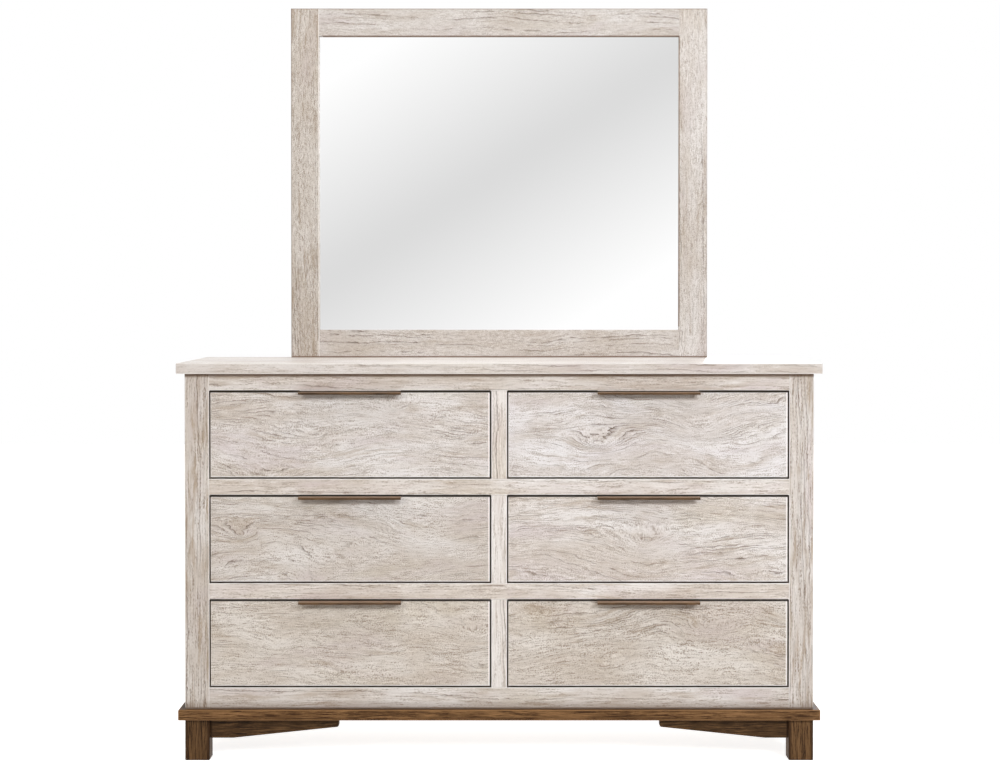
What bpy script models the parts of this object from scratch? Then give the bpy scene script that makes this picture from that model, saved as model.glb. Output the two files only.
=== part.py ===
"""A six-drawer dresser with a framed mirror standing on it, built board by board.

X runs from left to right, Y from front to back and Z up, in metres. The origin
is on the floor, under the middle of the whole piece of furniture.

The case is a mortised face frame in front of two side panels, tied together by
three dust panels and a back. It stands on a mitred plinth with four feet. Each
drawer front is dovetailed to its box, and the box runs on a dovetailed guide.
"""
import math

import bmesh
import bpy
from mathutils import Vector

# Dresser as a whole, and its top board
DRESSER_HEIGHT = 0.973
TOP_WIDTH = 1.573
TOP_DEPTH = 0.457
TOP_THICKNESS = 0.026
TOP_SIDE_OVERHANG = 0.018
TOP_FRONT_OVERHANG = 0.020

# Feet, plinth and the angled brackets beside the front feet
FOOT_HEIGHT = 0.101
FOOT_WIDTH = 0.060
FOOT_DEPTH = 0.047
PLINTH_HEIGHT = 0.026
PLINTH_PROJECTION = 0.0145
PLINTH_BOARD_WIDTH = 0.078
BRACKET_LENGTH = 0.315
BRACKET_FLAT_LENGTH = 0.057
BRACKET_FOOT_HEIGHT = 0.048
BRACKET_END_HEIGHT = 0.021
BRACKET_END_RADIUS = 0.005
BRACKET_THICKNESS = 0.020
BRACKET_SETBACK = 0.010

# Face frame
FRAME_THICKNESS = 0.022
STILE_WIDTH = 0.060
MULLION_WIDTH = 0.038
TOP_RAIL_HEIGHT = 0.042
MID_RAIL_HEIGHT = 0.040
BOTTOM_RAIL_HEIGHT = 0.052
TENON_LENGTH = 0.024
TENON_SHOULDER = 0.008

# Case behind the face frame
SIDE_THICKNESS = 0.018
BACK_THICKNESS = 0.006
BACK_REBATE_WIDTH = 0.009
DUST_PANEL_THICKNESS = 0.018
DADO_DEPTH = 0.006
REAR_RAIL_HEIGHT = 0.060
REAR_RAIL_THICKNESS = 0.018
REAR_POST_DEPTH = 0.025

# Drawer fronts and boxes
DRAWER_SIDE_GAP = 0.0032
DRAWER_TOP_GAP = 0.003
DRAWER_BOTTOM_GAP = 0.004
DRAWER_FRONT_THICKNESS = 0.020
DRAWER_REAR_CLEARANCE = 0.004
BOX_HEIGHT = 0.185
BOX_BOARD_THICKNESS = 0.012
BOX_BACK_INSET = 0.020
BOTTOM_THICKNESS = 0.005
BOTTOM_HEIGHT = 0.014
BOTTOM_GROOVE_DEPTH = 0.006
TAIL_COUNT = 4
TAIL_LENGTH = 0.014
TAIL_SHARE = 0.60
TAIL_SLOPE = 1 / 7

# Dovetailed centre guide under each drawer, and the button that stops it
GUIDE_BASE_WIDTH = 0.022
GUIDE_TOP_WIDTH = 0.030
GUIDE_HEIGHT = 0.008
GUIDE_CLEARANCE = 0.0005
GUIDE_ROOT = 0.002
CHANNEL_WIDTH = 0.060
CHANNEL_NOSE = 0.012
BUTTON_WIDTH = 0.024
BUTTON_THICKNESS = 0.014
BUTTON_LAP = 0.022
BUTTON_CATCH = 0.011

# Pulls: a folded metal strip over the top edge of each drawer front
PULL_LENGTH = 0.250
PULL_PROJECTION = 0.027
PULL_SHEET = 0.0018
PULL_LIP_HEIGHT = 0.0064
PULL_LEG_HEIGHT = 0.014
PULL_RECESS = 0.0008
PULL_EASE = 0.0004

# Mirror and the two posts that hold it up
MIRROR_WIDTH = 1.112
MIRROR_HEIGHT = 0.931
MIRROR_THICKNESS = 0.028
MIRROR_STILE_WIDTH = 0.075
MIRROR_RAIL_HEIGHT = 0.073
MIRROR_SIGHT_DEPTH = 0.012
MIRROR_REBATE_WIDTH = 0.010
MIRROR_TENON_LENGTH = 0.040
GLASS_THICKNESS = 0.004
BACKING_THICKNESS = 0.009
SUPPORT_WIDTH = 0.058
SUPPORT_THICKNESS = 0.018
SUPPORT_BELOW_TOP = 0.300
SUPPORT_TOP_DROP = 0.220

# Clearance between boards that touch, and the rounding of their edges
SEAT = 0.0003
EASE = 0.0005
OUTER_EASE = 0.002
FRONT_EASE = 0.0012
EASE_STEPS = 2
ARC_STEPS = 4
OVERRUN = 0.010

# Places worked out from the sizes above
CASE_WIDTH = TOP_WIDTH - 2 * TOP_SIDE_OVERHANG
CASE_DEPTH = TOP_DEPTH - TOP_FRONT_OVERHANG
CASE_HALF = CASE_WIDTH / 2
CASE_INNER_HALF = CASE_HALF - SIDE_THICKNESS
FRONT_REACH = max(PULL_PROJECTION, TOP_FRONT_OVERHANG, PLINTH_PROJECTION)
CASE_FRONT = FRONT_REACH - (FRONT_REACH + CASE_DEPTH + SEAT + SUPPORT_THICKNESS) / 2
CASE_REAR = CASE_FRONT + CASE_DEPTH
FRAME_REAR = CASE_FRONT + FRAME_THICKNESS
BACK_FRONT = CASE_REAR - BACK_THICKNESS
PLINTH_TOP = FOOT_HEIGHT + PLINTH_HEIGHT
TOP_UNDERSIDE = DRESSER_HEIGHT - TOP_THICKNESS
RAILS_HEIGHT = TOP_RAIL_HEIGHT + 2 * MID_RAIL_HEIGHT + BOTTOM_RAIL_HEIGHT
OPENING_HEIGHT = (TOP_UNDERSIDE - PLINTH_TOP - RAILS_HEIGHT) / 3
OPENING_WIDTH = (CASE_WIDTH - 2 * STILE_WIDTH - MULLION_WIDTH) / 2
OPENING_MIDDLE = (MULLION_WIDTH + OPENING_WIDTH) / 2
LOWER_OPENING = PLINTH_TOP + BOTTOM_RAIL_HEIGHT
MIDDLE_OPENING = LOWER_OPENING + OPENING_HEIGHT + MID_RAIL_HEIGHT
UPPER_OPENING = MIDDLE_OPENING + OPENING_HEIGHT + MID_RAIL_HEIGHT
ROWS = (("lower", LOWER_OPENING), ("middle", MIDDLE_OPENING), ("upper", UPPER_OPENING))
SIDES = (("left", -1), ("right", 1))

LEFT, RIGHT = Vector((-1, 0, 0)), Vector((1, 0, 0))
FRONT, BACK = Vector((0, -1, 0)), Vector((0, 1, 0))
BOTTOM, TOP = Vector((0, 0, -1)), Vector((0, 0, 1))


def finish(name, colour, roughness, metallic=0.0):
    """Material with a plain colour, as the surface looks from a step away."""
    material = bpy.data.materials.new(name)
    material.use_nodes = True
    shader = material.node_tree.nodes["Principled BSDF"]
    shader.inputs["Base Color"].default_value = (*colour, 1.0)
    shader.inputs["Roughness"].default_value = roughness
    shader.inputs["Metallic"].default_value = metallic
    material.diffuse_color = (*colour, 1.0)
    return material


def add_piece(name, bm, material=None):
    """Turn finished geometry into an object of the scene."""
    mesh = bpy.data.meshes.new(name)
    bm.to_mesh(mesh)
    bm.free()
    if material:
        mesh.materials.append(material)
    piece = bpy.data.objects.new(name, mesh)
    bpy.context.scene.collection.objects.link(piece)
    return piece


def ease(bm, radius, corners=None):
    """Round the edges between the named pairs of sides, or every edge."""
    def wanted(edge):
        normals = [face.normal for face in edge.link_faces]
        return corners is None or any(
            any(normal.dot(one) > 0.9 for normal in normals)
            and any(normal.dot(other) > 0.9 for normal in normals)
            for one, other in corners)
    bm.normal_update()
    edges = [edge for edge in bm.edges if wanted(edge)]
    bmesh.ops.bevel(bm, geom=edges, offset=radius, segments=EASE_STEPS,
                    profile=0.5, affect='EDGES')


def board(name, x, y, z, material=None, rounding=0.0, corners=None):
    """Rectangular board between two places along each axis."""
    bm = bmesh.new()
    bmesh.ops.create_cube(bm, size=1.0)
    spans = (x, y, z)
    size = Vector([high - low for low, high in spans])
    middle = Vector([(high + low) / 2 for low, high in spans])
    bmesh.ops.scale(bm, vec=size, verts=bm.verts)
    bmesh.ops.translate(bm, vec=middle, verts=bm.verts)
    if rounding:
        ease(bm, rounding, corners)
    return add_piece(name, bm, material)


def profile(name, outline, along, span, material=None, rounding=0.0, corners=None):
    """Board cut to an outline and running along one axis between two places."""
    axis = "XYZ".index(along)
    bm = bmesh.new()
    verts = []
    for first, second in outline:
        place = [first, second]
        place.insert(axis, span[0])
        verts.append(bm.verts.new(place))
    face = bm.faces.new(verts)
    grown = bmesh.ops.extrude_face_region(bm, geom=[face])
    moved = [item for item in grown["geom"] if isinstance(item, bmesh.types.BMVert)]
    shift = Vector((0, 0, 0))
    shift[axis] = span[1] - span[0]
    bmesh.ops.translate(bm, vec=shift, verts=moved)
    bmesh.ops.recalc_face_normals(bm, faces=bm.faces)
    if rounding:
        ease(bm, rounding, corners)
    return add_piece(name, bm, material)


def combine(piece, tool, operation):
    """Join the tool to the piece, or cut it out of it, and discard the tool."""
    modifier = piece.modifiers.new("combine", 'BOOLEAN')
    modifier.operation = operation
    modifier.object = tool
    bpy.context.view_layer.update()
    evaluated = piece.evaluated_get(bpy.context.evaluated_depsgraph_get())
    shaped = bpy.data.meshes.new_from_object(evaluated)
    piece.modifiers.clear()
    rough = piece.data
    piece.data = shaped
    shaped.name = piece.name
    bpy.data.meshes.remove(rough)
    bpy.data.objects.remove(tool)
    return piece


def join(piece, *tools):
    for tool in tools:
        combine(piece, tool, 'UNION')
    return piece


def cut(piece, *tools):
    for tool in tools:
        combine(piece, tool, 'DIFFERENCE')
    return piece


def block(*spans, grow=0.0):
    """Plain tool for a tenon, or grown by a clearance for its mortise."""
    return board("tool", *[(low - grow, high + grow) for low, high in spans])


def mirrored(sign, near, far):
    """Stretch between two distances from the middle, on the side of the sign."""
    return sorted((sign * near, sign * far))


def round_corner(outline, corner, radius):
    """The same outline with one of its corners turned into an arc."""
    before, point, after = (Vector(outline[corner + step]) for step in (-1, 0, 1))
    back = (before - point).normalized()
    ahead = (after - point).normalized()
    half_angle = back.angle(ahead) / 2
    centre = point + (back + ahead).normalized() * radius / math.sin(half_angle)
    reach = radius / math.tan(half_angle)
    first = (point + back * reach - centre).normalized()
    last = (point + ahead * reach - centre).normalized()
    arc = []
    for step in range(ARC_STEPS + 1):
        along = first.lerp(last, step / ARC_STEPS).normalized()
        arc.append(tuple(centre + along * radius))
    return (*outline[:corner], *arc, *outline[corner + 1:])


def group(name, x=0.0, y=0.0, z=0.0):
    """Empty that carries the pieces of one sub-assembly."""
    empty = bpy.data.objects.new(name, None)
    empty.empty_display_size = 0.05
    empty.location = (x, y, z)
    bpy.context.scene.collection.objects.link(empty)
    return empty


def place(parent, *pieces):
    """Hang pieces on a group, each with its own origin at its middle."""
    for piece in pieces:
        corners = [Vector(corner) for corner in piece.bound_box]
        middle = (corners[0] + corners[6]) / 2
        for vertex in piece.data.vertices:
            vertex.co -= middle
        piece.location = middle
        piece.parent = parent


def copy(piece, name):
    """Another piece of the same shape, sharing its mesh."""
    twin = piece.copy()
    twin.name = name
    bpy.context.scene.collection.objects.link(twin)
    return twin


def build_base(brown):
    """Four feet, the mitred plinth that they carry and the two front brackets."""
    base = group("base", y=CASE_FRONT)
    under_plinth = FOOT_HEIGHT - SEAT
    foot_inner = CASE_HALF - FOOT_WIDTH
    for side, sign in SIDES:
        across = mirrored(sign, foot_inner, CASE_HALF)
        for end, front in (("front", 0.0), ("rear", CASE_DEPTH - FOOT_DEPTH)):
            foot = board(f"{end}_{side}_foot", across, (front, front + FOOT_DEPTH),
                         (0.0, under_plinth), brown, OUTER_EASE)
            place(base, foot)

    outer = CASE_HALF + PLINTH_PROJECTION
    inner = outer - PLINTH_BOARD_WIDTH
    front = -PLINTH_PROJECTION
    rear = CASE_DEPTH
    height = (FOOT_HEIGHT, PLINTH_TOP)
    front_outline = ((-outer, front), (outer, front),
                     (inner, front + PLINTH_BOARD_WIDTH), (-inner, front + PLINTH_BOARD_WIDTH))
    plinth_front = profile("plinth_front", front_outline, "Z", height, brown,
                           OUTER_EASE, ((FRONT, TOP), (FRONT, BOTTOM)))
    plinth_rear = board("plinth_rear", (-inner + SEAT, inner - SEAT),
                        (rear - PLINTH_BOARD_WIDTH, rear), height, brown)
    place(base, plinth_front, plinth_rear)
    mitre_gap = SEAT * 2 ** 0.5
    for side, sign in SIDES:
        outline = ((sign * outer, front + mitre_gap), (sign * outer, rear), (sign * inner, rear),
                   (sign * inner, front + PLINTH_BOARD_WIDTH + mitre_gap))
        outward = RIGHT if sign > 0 else LEFT
        place(base, profile(f"plinth_{side}", outline, "Z", height, brown,
                            OUTER_EASE, ((outward, TOP), (outward, BOTTOM))))

    thickness = (BRACKET_SETBACK, BRACKET_SETBACK + BRACKET_THICKNESS)
    for side, sign in SIDES:
        start = foot_inner - SEAT
        end = start - BRACKET_LENGTH
        outline = ((sign * start, under_plinth), (sign * start, FOOT_HEIGHT - BRACKET_FOOT_HEIGHT),
                   (sign * (start - BRACKET_FLAT_LENGTH), FOOT_HEIGHT - BRACKET_FOOT_HEIGHT),
                   (sign * end, FOOT_HEIGHT - BRACKET_END_HEIGHT), (sign * end, under_plinth))
        end_corner = 3
        outline = round_corner(outline, end_corner, BRACKET_END_RADIUS)
        place(base, profile(f"{side}_bracket", outline, "Y", thickness, brown, EASE))


def build_face_frame(whitewash):
    """Two stiles, four rails tenoned into them and three short mullions."""
    frame = group("face_frame", y=CASE_FRONT)
    thickness = (0.0, FRAME_THICKNESS)
    tenon_thickness = (FRAME_THICKNESS / 3, FRAME_THICKNESS * 2 / 3)
    stile_inner = CASE_HALF - STILE_WIDTH
    rail_half = stile_inner - SEAT
    half_mullion = MULLION_WIDTH / 2
    stub = MID_RAIL_HEIGHT / 4
    rails = {"bottom_rail": (PLINTH_TOP + SEAT, LOWER_OPENING),
             "lower_mid_rail": (LOWER_OPENING + OPENING_HEIGHT, MIDDLE_OPENING),
             "upper_mid_rail": (MIDDLE_OPENING + OPENING_HEIGHT, UPPER_OPENING),
             "top_rail": (UPPER_OPENING + OPENING_HEIGHT, TOP_UNDERSIDE - SEAT)}
    stub_across = (-half_mullion + TENON_SHOULDER, half_mullion - TENON_SHOULDER)

    stiles = {}
    for side, sign in SIDES:
        outward = RIGHT if sign > 0 else LEFT
        stiles[sign] = board(f"{side}_front_stile", mirrored(sign, stile_inner, CASE_HALF),
                             thickness, (PLINTH_TOP + SEAT, TOP_UNDERSIDE - SEAT),
                             whitewash, OUTER_EASE, ((FRONT, outward),))

    for name, (low, high) in rails.items():
        rail = board(name, (-rail_half, rail_half), thickness, (low, high), whitewash,
                     EASE, ((FRONT, TOP), (FRONT, BOTTOM)))
        for sign in (-1, 1):
            tenon = (mirrored(sign, rail_half - TENON_LENGTH, rail_half + TENON_LENGTH),
                     tenon_thickness, (low + TENON_SHOULDER, high - TENON_SHOULDER))
            join(rail, block(*tenon))
            cut(stiles[sign], block(*tenon, grow=SEAT))
        if name != "bottom_rail":
            cut(rail, block(stub_across, tenon_thickness, (low - OVERRUN, low + stub), grow=SEAT))
        if name != "top_rail":
            cut(rail, block(stub_across, tenon_thickness, (high - stub, high + OVERRUN), grow=SEAT))
        place(frame, rail)

    for row, low in ROWS:
        high = low + OPENING_HEIGHT
        mullion = board(f"{row}_mullion", (-half_mullion, half_mullion), thickness,
                        (low + SEAT, high - SEAT), whitewash, EASE, ((FRONT, LEFT), (FRONT, RIGHT)))
        join(mullion, block(stub_across, tenon_thickness, (low - stub, high + stub)))
        place(frame, mullion)
    place(frame, *stiles.values())


def guide_outline(middle, clearance=0.0):
    """Dovetailed section of the drawer guide, wider at its top than at its base."""
    base = GUIDE_BASE_WIDTH / 2 + clearance
    top = GUIDE_TOP_WIDTH / 2 + clearance
    flare = (top - base) / GUIDE_HEIGHT
    foot = base - flare * GUIDE_ROOT
    return ((middle - foot, -GUIDE_ROOT), (middle + foot, -GUIDE_ROOT),
            (middle + top, GUIDE_HEIGHT + clearance), (middle - top, GUIDE_HEIGHT + clearance))


def build_carcase(whitewash, plain_wood, plywood):
    """Side panels, back, dust panels with the drawer guides, rear rail and post."""
    case = group("carcase", y=CASE_FRONT)
    back_front = CASE_DEPTH - BACK_THICKNESS
    panel_front = FRAME_THICKNESS + SEAT
    height = (PLINTH_TOP + SEAT, TOP_UNDERSIDE - SEAT)

    for side, sign in SIDES:
        outward = RIGHT if sign > 0 else LEFT
        panel = board(f"{side}_side_panel", mirrored(sign, CASE_INNER_HALF, CASE_HALF),
                      (panel_front, CASE_DEPTH), height, whitewash, EASE, ((BACK, outward),))
        rebate = (mirrored(sign, CASE_INNER_HALF - OVERRUN, CASE_INNER_HALF + BACK_REBATE_WIDTH),
                  (back_front, CASE_DEPTH + OVERRUN), (0.0, DRESSER_HEIGHT))
        dado = mirrored(sign, CASE_INNER_HALF - OVERRUN, CASE_INNER_HALF + DADO_DEPTH)
        for row, level in ROWS:
            cut(panel, block(dado, (0.0, CASE_DEPTH + OVERRUN),
                             (level - DUST_PANEL_THICKNESS, level), grow=SEAT))
        cut(panel, block(*rebate, grow=SEAT))
        place(case, panel)

    back_half = CASE_INNER_HALF + BACK_REBATE_WIDTH
    place(case, board("back_panel", (-back_half, back_half), (back_front, CASE_DEPTH), height, plywood))

    behind = back_front - SEAT
    half_post = MULLION_WIDTH / 2
    rear_rail_bottom = height[1] - REAR_RAIL_HEIGHT
    rail_half = CASE_INNER_HALF - SEAT
    post = ((-half_post, half_post), (behind - REAR_POST_DEPTH, behind),
            (height[0], rear_rail_bottom - SEAT))
    place(case,
          board("rear_top_rail", (-rail_half, rail_half), (behind - REAR_RAIL_THICKNESS, behind),
                (rear_rail_bottom, height[1]), plain_wood),
          board("rear_centre_post", *post, plain_wood))

    panel_half = CASE_INNER_HALF + DADO_DEPTH
    guide_front = DRAWER_FRONT_THICKNESS + SEAT + CHANNEL_NOSE + GUIDE_CLEARANCE
    for name, level in (("bottom_panel", LOWER_OPENING), ("lower_dust_panel", MIDDLE_OPENING),
                        ("upper_dust_panel", UPPER_OPENING)):
        panel = board(name, (-panel_half, panel_half), (panel_front, behind),
                      (level - DUST_PANEL_THICKNESS, level), plain_wood)
        for sign in (-1, 1):
            outline = [(x, level + z) for x, z in guide_outline(sign * OPENING_MIDDLE)]
            join(panel, profile("tool", outline, "Y", (guide_front, behind - SEAT)))
        cut(panel, block(post[0], (post[1][0], behind + OVERRUN), post[2], grow=SEAT))
        place(case, panel)


def build_top(whitewash):
    """The top board, flush with the back of the case."""
    top = group("top", y=CASE_FRONT, z=TOP_UNDERSIDE)
    half = TOP_WIDTH / 2
    place(top, board("top_board", (-half, half), (-TOP_FRONT_OVERHANG, CASE_DEPTH),
                     (0.0, TOP_THICKNESS), whitewash, OUTER_EASE))


def tails(front, rear, bottom, clearance=0.0):
    """Outline of the tails on the front end of a drawer side, from bottom to top."""
    pitch = BOX_HEIGHT / TAIL_COUNT
    root = pitch * TAIL_SHARE / 2 + clearance
    tip = root + (rear - front) * TAIL_SLOPE
    outlines = []
    for number in range(TAIL_COUNT):
        middle = bottom + pitch * (number + 0.5)
        outlines.append(((rear, middle - root), (front, middle - tip),
                         (front, middle + tip), (rear, middle + root)))
    return outlines


def drawer_pieces(whitewash, bronze, drawer_wood, plywood):
    """The four pieces of one drawer, around the bottom middle of its opening."""
    half = OPENING_WIDTH / 2 - DRAWER_SIDE_GAP
    front_top = OPENING_HEIGHT - DRAWER_TOP_GAP
    front_rear = DRAWER_FRONT_THICKNESS
    inner_half = half - BOX_BOARD_THICKNESS
    side_rear = CASE_DEPTH - BACK_THICKNESS - REAR_RAIL_THICKNESS - DRAWER_REAR_CLEARANCE
    back_rear = side_rear - BOX_BACK_INSET
    back_front = back_rear - BOX_BOARD_THICKNESS
    box_top = SEAT + BOX_HEIGHT
    tail_front = front_rear - TAIL_LENGTH
    groove_half = inner_half + BOTTOM_GROOVE_DEPTH
    groove = ((-groove_half, groove_half),
              (front_rear - BOTTOM_GROOVE_DEPTH, back_front + BOTTOM_GROOVE_DEPTH),
              (BOTTOM_HEIGHT, BOTTOM_HEIGHT + BOTTOM_THICKNESS))

    front = board("front", (-half, half), (0.0, front_rear), (DRAWER_BOTTOM_GAP, front_top),
                  whitewash, FRONT_EASE, ((FRONT, LEFT), (FRONT, RIGHT), (FRONT, TOP), (FRONT, BOTTOM)))
    for sign in (-1, 1):
        socket = mirrored(sign, inner_half - SEAT, half + OVERRUN)
        for outline in tails(tail_front - SEAT, front_rear + OVERRUN, SEAT, SEAT):
            cut(front, profile("tool", outline, "X", socket))
    cut(front, block(*groove, grow=SEAT))
    cut(front, block((-PULL_LENGTH / 2, PULL_LENGTH / 2), (-OVERRUN, front_rear + OVERRUN),
                     (front_top - PULL_RECESS, front_top + OVERRUN), grow=SEAT))

    box = board("box", (-inner_half - BOX_BOARD_THICKNESS / 2, inner_half + BOX_BOARD_THICKNESS / 2),
                (back_front, back_rear), (SEAT, box_top), drawer_wood)
    for sign in (-1, 1):
        wall = mirrored(sign, inner_half, half)
        side = board("tool", wall, (front_rear + SEAT, side_rear), (SEAT, box_top),
                     None, OUTER_EASE, ((LEFT, TOP), (RIGHT, TOP)))
        for outline in tails(tail_front, front_rear + OVERRUN, SEAT):
            join(side, profile("tool", outline, "X", wall))
        join(box, side)
    channel_half = CHANNEL_WIDTH / 2
    under_bottom = BOTTOM_HEIGHT - SEAT
    join(box, block((-channel_half, channel_half), (front_rear + SEAT, back_rear - OVERRUN / 2),
                    (SEAT, under_bottom)))
    half_button = BUTTON_WIDTH / 2
    button = board("tool", (-half_button, half_button), (back_front - BUTTON_THICKNESS, back_front + SEAT),
                   (box_top - BUTTON_LAP, OPENING_HEIGHT + BUTTON_CATCH), None, OUTER_EASE,
                   ((LEFT, TOP), (RIGHT, TOP)))
    join(box, button)
    cut(box, block(*groove, grow=SEAT))
    guide_groove = guide_outline(0.0, GUIDE_CLEARANCE)
    cut(box, profile("tool", guide_groove, "Y",
                     (front_rear + SEAT + CHANNEL_NOSE, side_rear + OVERRUN)))

    bottom = board("bottom", *groove, plywood)

    sheet_top = front_top - PULL_RECESS + PULL_SHEET
    leg_front = front_rear + SEAT
    leg_rear = leg_front + PULL_SHEET
    lip_front = -PULL_PROJECTION
    outline = ((lip_front, sheet_top), (leg_rear, sheet_top),
               (leg_rear, sheet_top - PULL_LEG_HEIGHT), (leg_front, sheet_top - PULL_LEG_HEIGHT),
               (leg_front, sheet_top - PULL_SHEET), (lip_front + PULL_SHEET, sheet_top - PULL_SHEET),
               (lip_front + PULL_SHEET, sheet_top - PULL_LIP_HEIGHT),
               (lip_front, sheet_top - PULL_LIP_HEIGHT))
    pull = profile("pull", outline, "X", (-PULL_LENGTH / 2, PULL_LENGTH / 2), bronze, PULL_EASE)
    return front, box, bottom, pull


def build_drawers(whitewash, bronze, drawer_wood, plywood):
    """Six like drawers, each carried by an empty on the line that it slides along."""
    first = drawer_pieces(whitewash, bronze, drawer_wood, plywood)
    parts = [piece.name for piece in first]
    for row, level in ROWS:
        for side, sign in SIDES:
            drawer = group(f"{row}_{side}_drawer", sign * OPENING_MIDDLE, CASE_FRONT, level)
            if (row, side) == (ROWS[0][0], SIDES[0][0]):
                place(drawer, *first)
                pieces = first
            else:
                pieces = [copy(piece, "copy") for piece in first]
            for piece, part in zip(pieces, parts):
                piece.name = f"{row}_{side}_drawer_{part}"
                piece.parent = drawer


def build_mirror(whitewash, silver, hardboard, plain_wood):
    """Frame with the glass in its rebate, and the two posts behind it."""
    mirror = group("mirror", y=CASE_REAR, z=DRESSER_HEIGHT)
    half = MIRROR_WIDTH / 2
    inner = half - MIRROR_STILE_WIDTH
    low = SEAT
    high = low + MIRROR_HEIGHT
    thickness = (-MIRROR_THICKNESS, 0.0)
    glass_front = -MIRROR_THICKNESS + MIRROR_SIGHT_DEPTH
    third = (MIRROR_THICKNESS - MIRROR_SIGHT_DEPTH) / 3
    tenon_thickness = (glass_front - third, glass_front + third)
    rebate_half = inner + MIRROR_REBATE_WIDTH
    rebate_low = low + MIRROR_RAIL_HEIGHT - MIRROR_REBATE_WIDTH
    rebate_high = high - MIRROR_RAIL_HEIGHT + MIRROR_REBATE_WIDTH
    rebate = ((-rebate_half, rebate_half), (glass_front, OVERRUN), (rebate_low, rebate_high))

    stiles = {}
    for side, sign in SIDES:
        outward = RIGHT if sign > 0 else LEFT
        stiles[sign] = board(f"mirror_{side}_stile", mirrored(sign, inner, half), thickness,
                             (low, high), whitewash, OUTER_EASE, ((FRONT, outward),))
    rail_half = inner - SEAT
    rails = (("mirror_bottom_rail", low, rebate_low, low, low + MIRROR_RAIL_HEIGHT),
             ("mirror_top_rail", rebate_high, high, high - MIRROR_RAIL_HEIGHT, high))
    for name, tenon_low, tenon_high, rail_low, rail_high in rails:
        rail = board(name, (-rail_half, rail_half), thickness, (rail_low, rail_high), whitewash,
                     EASE, ((FRONT, TOP), (FRONT, BOTTOM)))
        for sign in (-1, 1):
            tenon = (mirrored(sign, rail_half - TENON_LENGTH, rail_half + MIRROR_TENON_LENGTH),
                     tenon_thickness, (tenon_low + TENON_SHOULDER, tenon_high - TENON_SHOULDER))
            join(rail, block(*tenon))
            cut(stiles[sign], block(*tenon, grow=SEAT))
        cut(rail, block(*rebate, grow=SEAT))
        place(mirror, rail)
    for stile in stiles.values():
        cut(stile, block(*rebate, grow=SEAT))
        place(mirror, stile)

    backing_front = glass_front + GLASS_THICKNESS + SEAT
    sheet = ((-rebate_half, rebate_half), (rebate_low, rebate_high))
    glass = board("mirror_glass", sheet[0], (glass_front, glass_front + GLASS_THICKNESS), sheet[1], silver)
    backing = board("mirror_backing", sheet[0], (backing_front, backing_front + BACKING_THICKNESS),
                    sheet[1], hardboard)
    place(mirror, glass, backing)

    support_middle = half - MIRROR_STILE_WIDTH / 2
    for side, sign in SIDES:
        across = mirrored(sign, support_middle - SUPPORT_WIDTH / 2, support_middle + SUPPORT_WIDTH / 2)
        place(mirror, board(f"mirror_{side}_support", across, (SEAT, SEAT + SUPPORT_THICKNESS),
                            (-SUPPORT_BELOW_TOP, high - SUPPORT_TOP_DROP), plain_wood, OUTER_EASE))


def main():
    for leftover in list(bpy.data.objects):
        bpy.data.objects.remove(leftover)
    whitewash = finish("whitewashed_wood", (0.62, 0.56, 0.50), 0.55)
    brown = finish("brown_stained_wood", (0.15, 0.08, 0.04), 0.45)
    bronze = finish("bronzed_metal", (0.26, 0.17, 0.11), 0.35, 1.0)
    drawer_wood = finish("drawer_box_wood", (0.60, 0.45, 0.30), 0.50)
    plain_wood = finish("unfinished_wood", (0.50, 0.36, 0.22), 0.60)
    plywood = finish("plywood", (0.55, 0.41, 0.26), 0.60)
    silver = finish("mirror_glass", (0.90, 0.91, 0.92), 0.02, 1.0)
    hardboard = finish("hardboard", (0.16, 0.09, 0.05), 0.70)
    build_base(brown)
    build_face_frame(whitewash)
    build_carcase(whitewash, plain_wood, plywood)
    build_top(whitewash)
    build_drawers(whitewash, bronze, drawer_wood, plywood)
    build_mirror(whitewash, silver, hardboard, plain_wood)


main()
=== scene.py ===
"""Looks of the whitewashed dresser and its standing mirror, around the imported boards."""
import math

import bmesh
import bpy
from mathutils import Matrix, Vector


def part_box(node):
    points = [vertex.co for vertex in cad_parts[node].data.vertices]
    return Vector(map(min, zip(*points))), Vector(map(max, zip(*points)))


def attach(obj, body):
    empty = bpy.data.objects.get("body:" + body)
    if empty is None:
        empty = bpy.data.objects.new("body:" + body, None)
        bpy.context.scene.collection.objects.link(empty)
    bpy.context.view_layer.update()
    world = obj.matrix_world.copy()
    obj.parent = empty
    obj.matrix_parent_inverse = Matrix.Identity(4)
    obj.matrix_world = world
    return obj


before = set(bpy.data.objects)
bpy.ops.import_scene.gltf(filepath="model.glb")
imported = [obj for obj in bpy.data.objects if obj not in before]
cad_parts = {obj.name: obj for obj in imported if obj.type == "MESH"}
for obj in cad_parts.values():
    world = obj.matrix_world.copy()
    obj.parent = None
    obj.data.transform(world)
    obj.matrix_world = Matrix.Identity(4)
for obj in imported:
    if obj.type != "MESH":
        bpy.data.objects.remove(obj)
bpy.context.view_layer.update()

# Camera
# Straight in front and a little above the top board, with a long lens tipped
# down by less than a degree and shifted to centre the dresser.
camera_data = bpy.data.cameras.new("camera")
camera_data.sensor_width = 36.0
camera_data.lens = 62.77
camera_data.shift_x = 0.0008
camera_data.shift_y = -0.0667
camera = bpy.data.objects.new("camera", camera_data)
camera.location = (0.0, -4.469, 1.130)
camera.rotation_euler = (math.radians(89.37), 0.0, 0.0)
bpy.context.scene.collection.objects.link(camera)
bpy.context.scene.camera = camera
bpy.context.scene.view_settings.view_transform = "Standard"


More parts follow.
